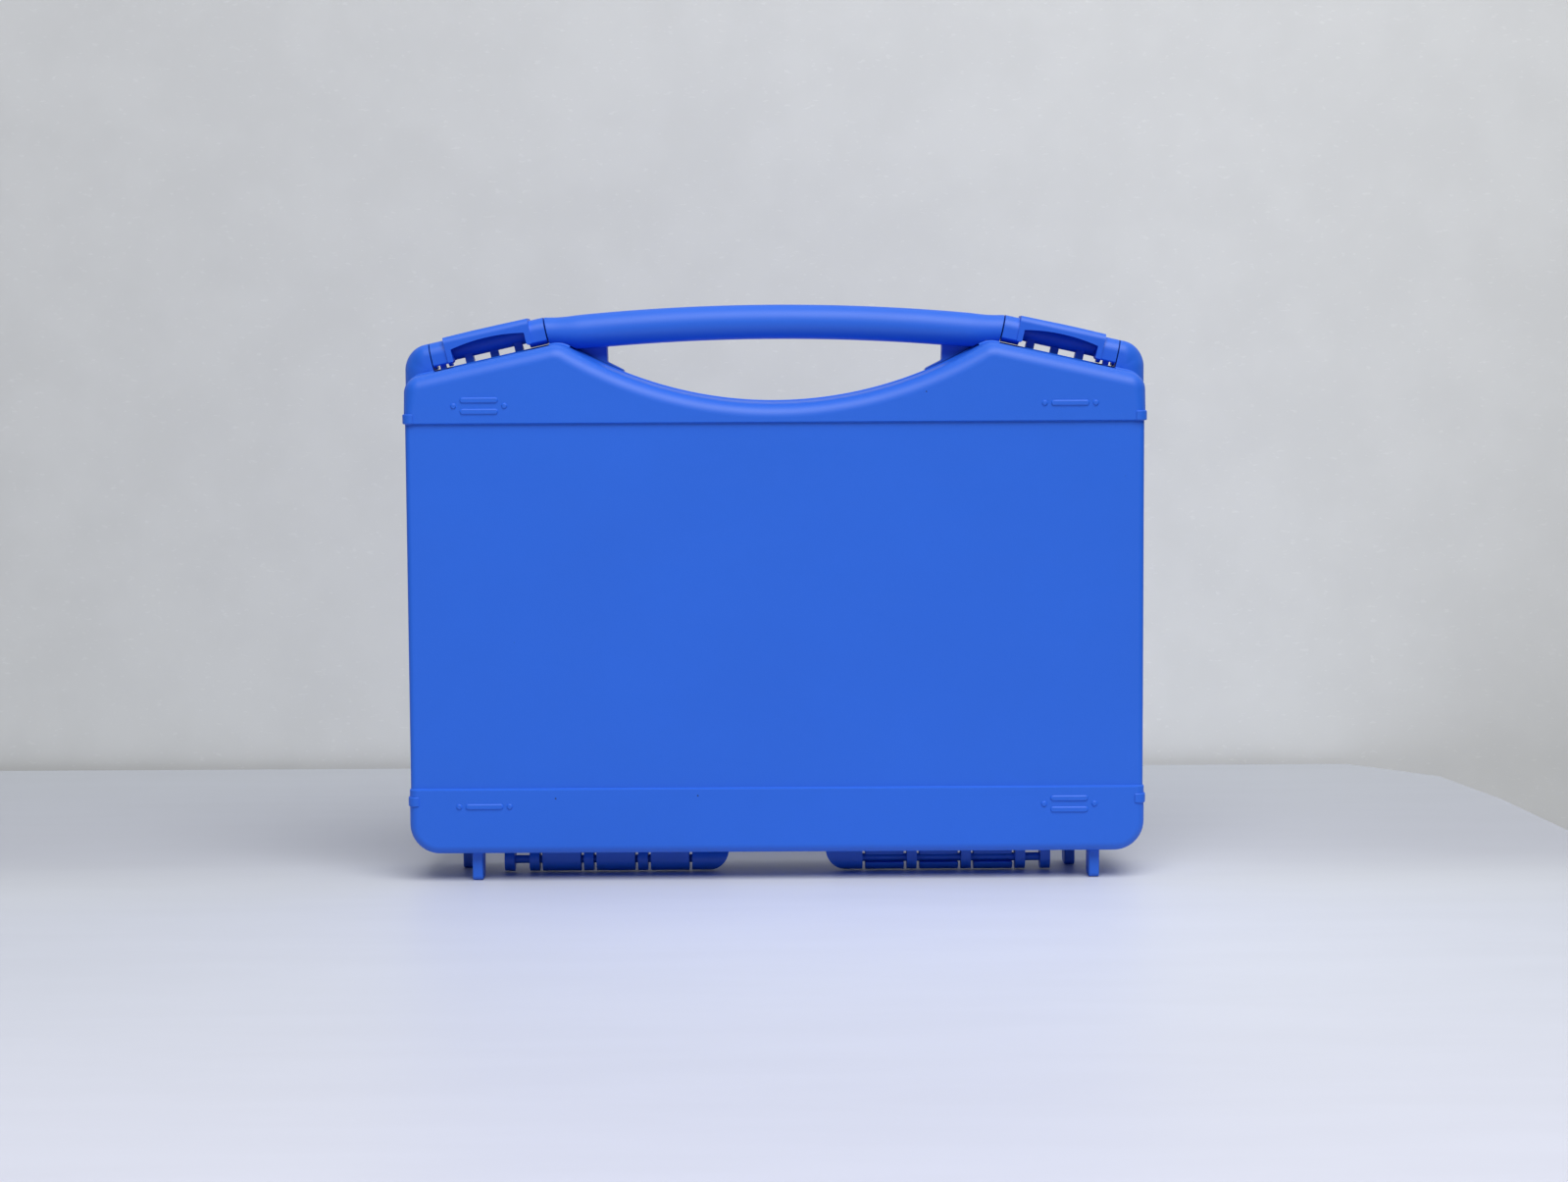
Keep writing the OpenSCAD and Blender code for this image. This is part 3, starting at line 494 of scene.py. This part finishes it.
def sweep_tree():
    """A stadium section swept along an arch, blending to another section, height and tilt at both
    ends. The grid's X runs along the arch and its Y round the section."""
    lengths = ("Half Length", "Blend", "Height", "Depth", "End Height", "End Depth", "Middle Z",
               "End Z", "Arch Radius", "End Tilt", "End Drop")
    g, given, taken = new_group(
        "arched_sweep", "GeometryNodeTree",
        [(name, "Float") for name in lengths]
        + [("Stations", "Int"), ("Round", "Int"), ("Material", "Material")],
        [("Sweep", "Geometry")])

    def calc(operation, a, b=0.0):
        return math_node(g, operation, (0, 0), a, b)

    def between(a, b, t, low=0.0, high=1.0, ease="LINEAR"):
        """Passes from a to b as t passes from low to high."""
        n = node(g, "ShaderNodeMapRange", (0, 0), Value=t, From_Min=low, From_Max=high, To_Min=a,
                 To_Max=b)
        n.interpolation_type = ease
        return n.outputs["Result"]

    grid = node(g, "GeometryNodeMeshGrid", (-900, 200), Size_X=1.0, Size_Y=1.0,
                Vertices_X=given["Stations"], Vertices_Y=given["Round"])
    where = node(g, "GeometryNodeInputPosition", (-1400, -200))
    split = node(g, "ShaderNodeSeparateXYZ", (-1200, -200), Vector=where.outputs["Position"])
    x = calc("MULTIPLY", calc("MULTIPLY", split.outputs["X"], 2.0), given["Half Length"])
    away = calc("ABSOLUTE", x)
    full = calc("SUBTRACT", given["Half Length"], given["Blend"])
    t = between(0.0, 1.0, away, full, given["Half Length"], "SMOOTHSTEP")
    height = between(given["Height"], given["End Height"], t)
    depth = between(given["Depth"], given["End Depth"], t)
    sag = calc("DIVIDE", calc("MULTIPLY", x, x), calc("MULTIPLY", given["Arch Radius"], 2.0))
    middle = between(calc("SUBTRACT", given["Middle Z"], sag), given["End Z"], t)
    arch_tilt = calc("ARCSINE", calc("DIVIDE", away, given["Arch Radius"]))
    tilt = calc("MULTIPLY", between(arch_tilt, given["End Tilt"], t), calc("SIGN", x))
    turn = calc("ADD", calc("MULTIPLY", split.outputs["Y"], 2 * pi), pi)
    c, half = calc("COSINE", turn), calc("MULTIPLY", height, 0.5)
    flat = calc("MAXIMUM", calc("MINIMUM", calc("MULTIPLY", c, GRIP_FLATNESS), 1.0), -1.0)
    spread = calc("MULTIPLY", calc("SUBTRACT", depth, height), 0.5)
    across = calc("ADD", calc("MULTIPLY", c, half), calc("MULTIPLY", flat, spread))
    drop = calc("MULTIPLY", given["End Drop"], t)
    up = calc("SUBTRACT", calc("MULTIPLY", calc("SINE", turn), half), drop)
    along = calc("ADD", x, calc("MULTIPLY", up, calc("SINE", tilt)))
    rise = calc("ADD", middle, calc("MULTIPLY", up, calc("COSINE", tilt)))
    place = node(g, "ShaderNodeCombineXYZ", (800, -200), X=along, Y=across, Z=rise)
    move = node(g, "GeometryNodeSetPosition", (1000, 0), Geometry=grid.outputs["Mesh"],
                Position=place.outputs["Vector"])
    weld = node(g, "GeometryNodeMergeByDistance", (1100, 0), Geometry=move.outputs["Geometry"],
                Distance=WELD / 1000)
    real = node(g, "GeometryNodeRealizeInstances", (1250, 0), Geometry=weld.outputs["Geometry"])
    paint = node(g, "GeometryNodeSetMaterial", (1400, 0), Geometry=real.outputs["Geometry"],
                 Material=given["Material"])
    feed(g, paint.outputs["Geometry"], taken["Sweep"])
    return g


def closed_up(mesh):
    """Fills open ends and turns the faces outwards."""
    with editing(mesh) as b:
        bmesh.ops.holes_fill(b, edges=[e for e in b.edges if len(e.link_faces) == 1])
        bmesh.ops.recalc_face_normals(b, faces=b.faces)
    return mesh


def carved(mesh, cutter):
    """The mesh with the cutter taken out of it."""
    stock, tool = add_object("stock", mesh), add_object("tool", cutter)
    cut = stock.modifiers.new("cut", "BOOLEAN")
    cut.operation, cut.solver, cut.object = "DIFFERENCE", "EXACT", tool
    seen = stock.evaluated_get(bpy.context.evaluated_depsgraph_get())
    result = bpy.data.meshes.new_from_object(seen)
    bpy.data.objects.remove(stock)
    bpy.data.objects.remove(tool)
    return result


def rim_room(gap):
    """The room that both rims and their beads take up, with a gap over them."""
    return lofted("rim_room", [[outset(row, BEAD + gap, y) for row in OUTLINE]
                               for y in (-CUTTER_HALF, CUTTER_HALF)])


def bevelled(mesh, width, segments=2):
    """The mesh with its sharper edges rounded off."""
    with editing(mesh) as b:
        edges = [e for e in b.edges
                 if len(e.link_faces) == 2 and e.calc_face_angle(0) > radians(BEVEL_DEG)]
        bmesh.ops.bevel(b, geom=edges, offset=width / 1000, segments=segments, profile=0.5,
                        affect="EDGES", clamp_overlap=True)
    return mesh


grip_mesh = grown(sweep_tree(), bpy.data.meshes.new("grip"), **{
    "Half Length": (AXIS_X - BAR_HALF * slope_c) / 1000, "Blend": GRIP_BLEND / 1000,
    "Height": GRIP_H / 1000, "Depth": GRIP_D / 1000,
    "End Height": GRIP_END_H / 1000, "End Depth": BOW_D / 1000,
    "Middle Z": (GRIP_TOP - GRIP_H / 2) / 1000, "End Z": (AXIS_Z + BAR_HALF * slope_s) / 1000,
    "Arch Radius": GRIP_ARC / 1000, "End Tilt": radians(SLOPE),
    "End Drop": (GRIP_END_H - BOW_H) / 2 / 1000, "Stations": GRIP_STATIONS, "Round": GRIP_ROUND,
    "Material": handle_plastic})
grip_mesh = carved(bevelled(closed_up(grip_mesh), HANDLE_BEVEL), rim_room(SEAT_GAP))
show("grip", soften(grip_mesh), handle_plastic, "base", ["handle_grip"])

# ---------------------------------------------------------------------------------------------
# Grip posts, moulded in one with the grip. Each carries one end of it on the rear rim and flares
# inwards along the rim at its foot.
POST_X, POST_L, POST_RISE, POST_DROP, POST_FILLET = 69.2, 14.0, 1.3, 4, 1.2
POST_FLARE, FLARE_FALL, POST_BEVEL, FILLET_STEPS = (6.7, 8.0), (2.8, 5.0), 0.35, 5


def filleted(corners):
    """A closed outline of corners (x, z, radius) with each corner rounded."""
    points = []
    for i, (x, z, r) in enumerate(corners):
        p = Vector((x, z))
        if r == 0:
            points.append(p)
            continue
        a = (Vector(corners[i - 1][:2]) - p).normalized()
        b = (Vector(corners[(i + 1) % len(corners)][:2]) - p).normalized()
        half = a.angle(b) / 2
        centre = p + (a + b).normalized() * r / sin(half)
        start, end = p + a * r / tan(half) - centre, p + b * r / tan(half) - centre
        points += [centre + start.slerp(end, k / FILLET_STEPS) for k in range(FILLET_STEPS + 1)]
    return points


def post_mesh(side):
    """A post from the rim up into the grip, in the front third of the rear half."""
    top = GRIP_TOP - GRIP_H / 2 - POST_DROP
    foot = RIM_Z + RIM_R - sqrt(RIM_R ** 2 - POST_X ** 2) + POST_RISE
    (toe, toe_end), (fall, fall_end) = POST_FLARE, FLARE_FALL
    shape = filleted([(POST_X + POST_L, top, 0), (POST_X, top, 0), (POST_X, foot, POST_FILLET),
                      (POST_X - toe, foot - fall, POST_FILLET),
                      (POST_X - toe_end, foot - fall_end, 0),
                      (POST_X - toe_end, RIM_Z, 0), (POST_X + POST_L, RIM_Z, 0)])
    rings = [[(side * p.x, y, p.y) for p in shape] for y in (2 * SEAT_GAP, HALF_D / 3)]
    return bevelled(carved(lofted("post", rings), rim_room(SEAT_GAP)), POST_BEVEL)


posts = joined("grip_posts", [post_mesh(-1), post_mesh(1)])
show("grip_posts", soften(posts), handle_plastic, "base", ["handle_grip"])

# ---------------------------------------------------------------------------------------------
# Elbows: the bow's two ends, moulded in one with it. Each is a hood that turns down over a
# shoulder of the case, from the outer end of its latch to a short skirt at the side.
ELBOW_SKIRT, BROW_R, SEAT_DEPTH, HOOD_REACH = 3.4, 5.5, 2.5, 1.5
BEND_STEPS, HOOD_STEPS = 24, 12
LAST_TURN, DOME_TURN = radians(90 - SLOPE), radians(60)


def hood_section(dome):
    """Half of the hood's section, from its edge to its crown, as (y, height over the bend). It
    passes from a flat top with a round brow, at dome 0, to a half ellipse, at dome 1."""
    points = []
    for k in range(HOOD_STEPS + 1):
        a, b = pi / 2 * (k - 1) / (HOOD_STEPS - 1), HOOD_REACH * k / HOOD_STEPS
        flat = Vector((BOW_D / 2 - BROW_R * (1 - cos(a)), BOW_R - BROW_R * (1 - sin(a))))
        if k == 0:
            flat = Vector((BOW_D / 2, -BOW_R))
        domed = Vector((BOW_D / 2 * cos(b), BOW_H * sin(b) - BOW_R))
        points.append(flat.lerp(domed, dome))
    return points


def hood_ring(side, turn, foot, dx=0.0, dz=0.0):
    """The hood across, at this turn round the bend or moved on from there, down to its foot."""
    half = [(foot[0], BOW_D / 2, foot[1])]
    for y, up in hood_section(smooth(min(1.0, (LAST_TURN - turn) / DOME_TURN))):
        r = BEND_R + up
        half.append((BEND_X - dx + r * cos(turn), y, BEND_Z + dz + r * sin(turn)))
    return [(side * x, -y, z) for x, y, z in half] + [(side * x, y, z) for x, y, z in half[::-1]]


def elbow_mesh(side):
    """A hood that rises up the skirt, bends over the shoulder and meets the latch. It is domed
    over the bend, flatter where it meets the latch, and sits on both rims."""
    low = SHOULDER_Z - ELBOW_SKIRT
    rings = [hood_ring(side, 0, (BEND_X, low), 0, low - BEND_Z)]
    rings += [hood_ring(side, LAST_TURN * k / BEND_STEPS, (BEND_X, BEND_Z - SEAT_DEPTH))
              for k in range(BEND_STEPS + 1)]
    run_x, run_z = ELBOW_RUN * slope_c, ELBOW_RUN * slope_s
    foot = (BEND_X - run_x - SEAT_DEPTH * cos(LAST_TURN),
            BEND_Z + run_z - SEAT_DEPTH * sin(LAST_TURN))
    rings.append(hood_ring(side, LAST_TURN, foot, run_x, run_z))
    return bevelled(carved(lofted("elbow", rings), rim_room(SEAT_GAP / 2)), HANDLE_BEVEL)


for word, side in (("left", -1), ("right", 1)):
    show("elbow_" + word, soften(elbow_mesh(side)), handle_plastic, "base",
         ["handle_elbow_" + word])

# ---------------------------------------------------------------------------------------------
# Feet, hinge rods and clips, moulded in one with each half. The frame's solids have their full
# shapes, and here their edges are rounded. A half's three clips are one form set in a row.
CLIP_PITCH, FORM_EDGE, FOOT_EDGE, FLAT_DEG = 22.6, 0.25, 0.6, 1
CLIP_WORDS = ("inner", "middle", "outer")


def rounded_copy(name, width, segments=2):
    """A copy of one of the frame's solids, in plain faces, with its edges rounded."""
    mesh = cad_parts[name].data.copy()
    with editing(mesh) as b:
        bmesh.ops.remove_doubles(b, verts=b.verts, dist=WELD / 1000)
        bmesh.ops.dissolve_limit(b, angle_limit=radians(FLAT_DEG), verts=b.verts, edges=b.edges)
    return soften(bevelled(mesh, width, segments))


for half, way in (("lid", -1), ("base", 1)):
    show(half + "_feet_moulding", rounded_copy(half + "_feet", FOOT_EDGE, 3), case_plastic, half,
         [half + "_feet"])
    show(half + "_rod_moulding", rounded_copy(half + "_hinge_rod", FORM_EDGE), case_plastic, half,
         [half + "_hinge_rod"])
    clips = grown(ROW, rounded_copy(half + "_clip_inner", FORM_EDGE), Count=len(CLIP_WORDS),
                  Step=(way * CLIP_PITCH / 1000, 0.0, 0.0), Material=case_plastic)
    show(half + "_clips", soften(clips), case_plastic, half,
         [half + "_clip_" + word for word in CLIP_WORDS])

# ---------------------------------------------------------------------------------------------
# Latch bars with their brackets on the rear half, the two latches that turn on them, and the catch
# pegs on the front half that hold the latches down. They are plastic mouldings too, and keep the
# full shapes of the frame's solids, with their edges rounded.
BAR_EDGE, LATCH_EDGE, CATCH_EDGE = 0.3, 0.35, 0.2

for word in ("left", "right"):
    show("bar_" + word, rounded_copy("handle_bar_" + word, BAR_EDGE), handle_plastic, "base",
         ["handle_bar_" + word])
    show("latch_" + word + "_moulding", rounded_copy("latch_" + word, LATCH_EDGE, 3),
         latch_plastic, "latch_" + word, ["latch_" + word])
    show("catch_" + word, rounded_copy("lid_catch_" + word, CATCH_EDGE), case_plastic, "lid",
         ["lid_catch_" + word])

# ---------------------------------------------------------------------------------------------
# Table and wall: a pale table top, whose right rear corner shows, in front of a pale wall. Their
# places are in metres, and their colours are bands of (place along one axis, colour) that hold
# painted light and shade: the table brighter towards the front with a painted shadow behind the
# case, the wall a little brighter at its foot and top.
WALL_Y, WALL_FOOT, STAGE_REACH = 0.31, -0.2, 3
TABLE_CORNER = ((0.38, -3.0), (0.37, -0.1), (0.355, 0.104), (0.350, 0.18), (0.338, 0.255),
                (0.30, 0.3))
# Painted light and shade on the table top: brighter towards the front, with a painted shadow behind
# the case.
TABLE_PAINTED_LIGHT = ((-0.45, (0.600, 0.615, 0.705)), (-0.25, (0.570, 0.590, 0.660)),
               (-0.09, (0.550, 0.572, 0.635)), (-0.03, (0.530, 0.550, 0.600)),
               (0.04, (0.440, 0.455, 0.507)), (WALL_Y, (0.465, 0.487, 0.530)))
# Painted light on the wall: a little brighter at its foot and towards its top.
WALL_PAINTED_LIGHT = ((WALL_FOOT, (0.61, 0.62, 0.62)), (0.3, (0.575, 0.583, 0.585)),
              (1.0, (0.60, 0.61, 0.61)))
FLECK_LOW, FLECK_HIGH = 0.62, 0.72


def backdrop(name, axis, painted_light_bands, painted_glow, cloud, flecks, roughness):
    """A pale surface whose colour passes through its bands of painted light and shade. A painted
    pool of light, given as (centre, reach, gain), brightens it round the case, and its clouds and
    pale flecks are noises given as (cells per metre on each axis, strength). From behind it is
    clear."""
    m = bpy.data.materials.new(name)
    m.use_nodes = True
    t = m.node_tree
    skin = t.nodes["Principled BSDF"]
    place = node(t, "ShaderNodeTexCoord", (-1600, 0)).outputs["Object"]
    split = node(t, "ShaderNodeSeparateXYZ", (-1200, 100), Vector=place)
    first, last = painted_light_bands[0][0], painted_light_bands[-1][0]
    along = node(t, "ShaderNodeMapRange", (-1000, 100), Value=split.outputs[axis], From_Min=first,
                 From_Max=last)
    ramp = node(t, "ShaderNodeValToRGB", (-800, 100), Fac=along.outputs["Result"])
    ramp.color_ramp.interpolation = "CARDINAL"
    stops = ramp.color_ramp.elements
    stops[0].color, stops[1].color = (*painted_light_bands[0][1], 1), (*painted_light_bands[-1][1], 1)
    for at, colour in painted_light_bands[1:-1]:
        stops.new((at - first) / (last - first)).color = (*colour, 1)

    def factor(y, source, low, high, at_low, at_high):
        n = node(t, "ShaderNodeMapRange", (-600, y), Value=source, From_Min=low, From_Max=high,
                 To_Min=at_low, To_Max=at_high)
        n.interpolation_type = "SMOOTHSTEP"
        return n.outputs["Result"]

    def noise(y, cells):
        sized = node(t, "ShaderNodeMapping", (-1200, y), Vector=place, Scale=cells)
        return node(t, "ShaderNodeTexNoise", (-1000, y), Vector=sized.outputs["Vector"], Scale=1.0,
                    Detail=3.0, Roughness=0.55).outputs["Fac"]

    # Painted light: the colour is brightened near the pool's centre and fades to plain at its
    # reach.
    away = node(t, "ShaderNodeVectorMath", (-1200, -150))
    away.operation = "DISTANCE"
    feed(t, place, away.inputs[0])
    feed(t, painted_glow[0], away.inputs[1])
    lit = factor(-150, away.outputs["Value"], 0.0, painted_glow[1], painted_glow[2], 1.0)
    soft = factor(-400, noise(-400, cloud[0]), NOISE_LOW, NOISE_HIGH, 1 - cloud[1], 1 + cloud[1])
    bright = factor(-650, noise(-650, flecks[0]), FLECK_LOW, FLECK_HIGH, 1.0, 1 + flecks[1])
    level = math_node(t, "MULTIPLY", (-400, -150), lit, soft)
    level = math_node(t, "MULTIPLY", (-400, -300), level, bright)
    feed(t, colour_mix(t, (-200, 0), 1.0, ramp.outputs["Color"], level, "MULTIPLY"),
         skin.inputs["Base Color"])
    feed(t, roughness, skin.inputs["Roughness"])
    behind = node(t, "ShaderNodeNewGeometry", (300, 300))
    clear = node(t, "ShaderNodeBsdfTransparent", (300, -200))
    blend = node(t, "ShaderNodeMixShader", (600, 0), Fac=behind.outputs["Backfacing"])
    feed(t, skin.outputs["BSDF"], blend.inputs[1])
    feed(t, clear.outputs["BSDF"], blend.inputs[2])
    feed(t, blend.outputs["Shader"], t.nodes["Material Output"].inputs["Surface"])
    return m


def stage_plane(name, corners, material):
    mesh = bpy.data.meshes.new(name)
    mesh.from_pydata(corners, [], [range(len(corners))])
    mesh.materials.append(material)
    add_object(name, mesh)


# The floor's pool is painted light on the table in front of the case, and the wall's is painted
# light behind the handle.
stage_plane("floor",
            [(-STAGE_REACH, -STAGE_REACH, 0)] + [(x, y, 0) for x, y in TABLE_CORNER]
            + [(-STAGE_REACH, WALL_Y, 0)],
            backdrop("pale_floor", "Y", TABLE_PAINTED_LIGHT, painted_glow=((0.05, -0.07, 0), 0.34, 1.22),
                     cloud=((9, 45, 1), 0.012), flecks=((240, 300, 1), 0.012), roughness=0.5))
stage_plane("wall",
            [(-STAGE_REACH, WALL_Y, WALL_FOOT), (STAGE_REACH, WALL_Y, WALL_FOOT),
             (STAGE_REACH, WALL_Y, STAGE_REACH), (-STAGE_REACH, WALL_Y, STAGE_REACH)],
            backdrop("pale_wall", "Z", WALL_PAINTED_LIGHT, painted_glow=((0.2, WALL_Y, 0.22), 0.7, 1.27),
                     cloud=((26, 1, 26), 0.02), flecks=((230, 1, 560), 0.06), roughness=0.85))

# ---------------------------------------------------------------------------------------------
# Light: one broad soft lamp high in front, in a pale room that fills the shadows faintly and is
# the background where the table and wall end.
LAMP_PLACE, LAMP_AIM, LAMP_WIDTH, LAMP_HEIGHT, LAMP_WATTS = (
    (0.35, -1.5, 2.3), (0, 0, 0.12), 2.6, 1.8, 92)
SKY_COLOUR, SKY_FILL, SKY_SEEN = (0.93, 0.96, 1.0, 1), 0.10, 0.62

light = bpy.data.lights.new("top_light", "AREA")
light.shape, light.size, light.size_y = "RECTANGLE", LAMP_WIDTH, LAMP_HEIGHT
light.energy = LAMP_WATTS
lamp = add_object("top_light", light)
lamp.location = LAMP_PLACE
lamp.rotation_euler = (Vector(LAMP_AIM) - Vector(LAMP_PLACE)).to_track_quat("-Z", "Y").to_euler()

world = bpy.data.worlds.new("room")
world.use_nodes = True
tree = world.node_tree
sky = tree.nodes["Background"]
sky.inputs["Color"].default_value = SKY_COLOUR
rays = node(tree, "ShaderNodeLightPath", (-600, 0))
strength = node(tree, "ShaderNodeMapRange", (-300, 0), Value=rays.outputs["Is Camera Ray"],
                To_Min=SKY_FILL, To_Max=SKY_SEEN)
feed(tree, strength.outputs["Result"], sky.inputs["Strength"])
bpy.context.scene.world = world
bpy.context.scene.view_settings.view_transform = "Standard"
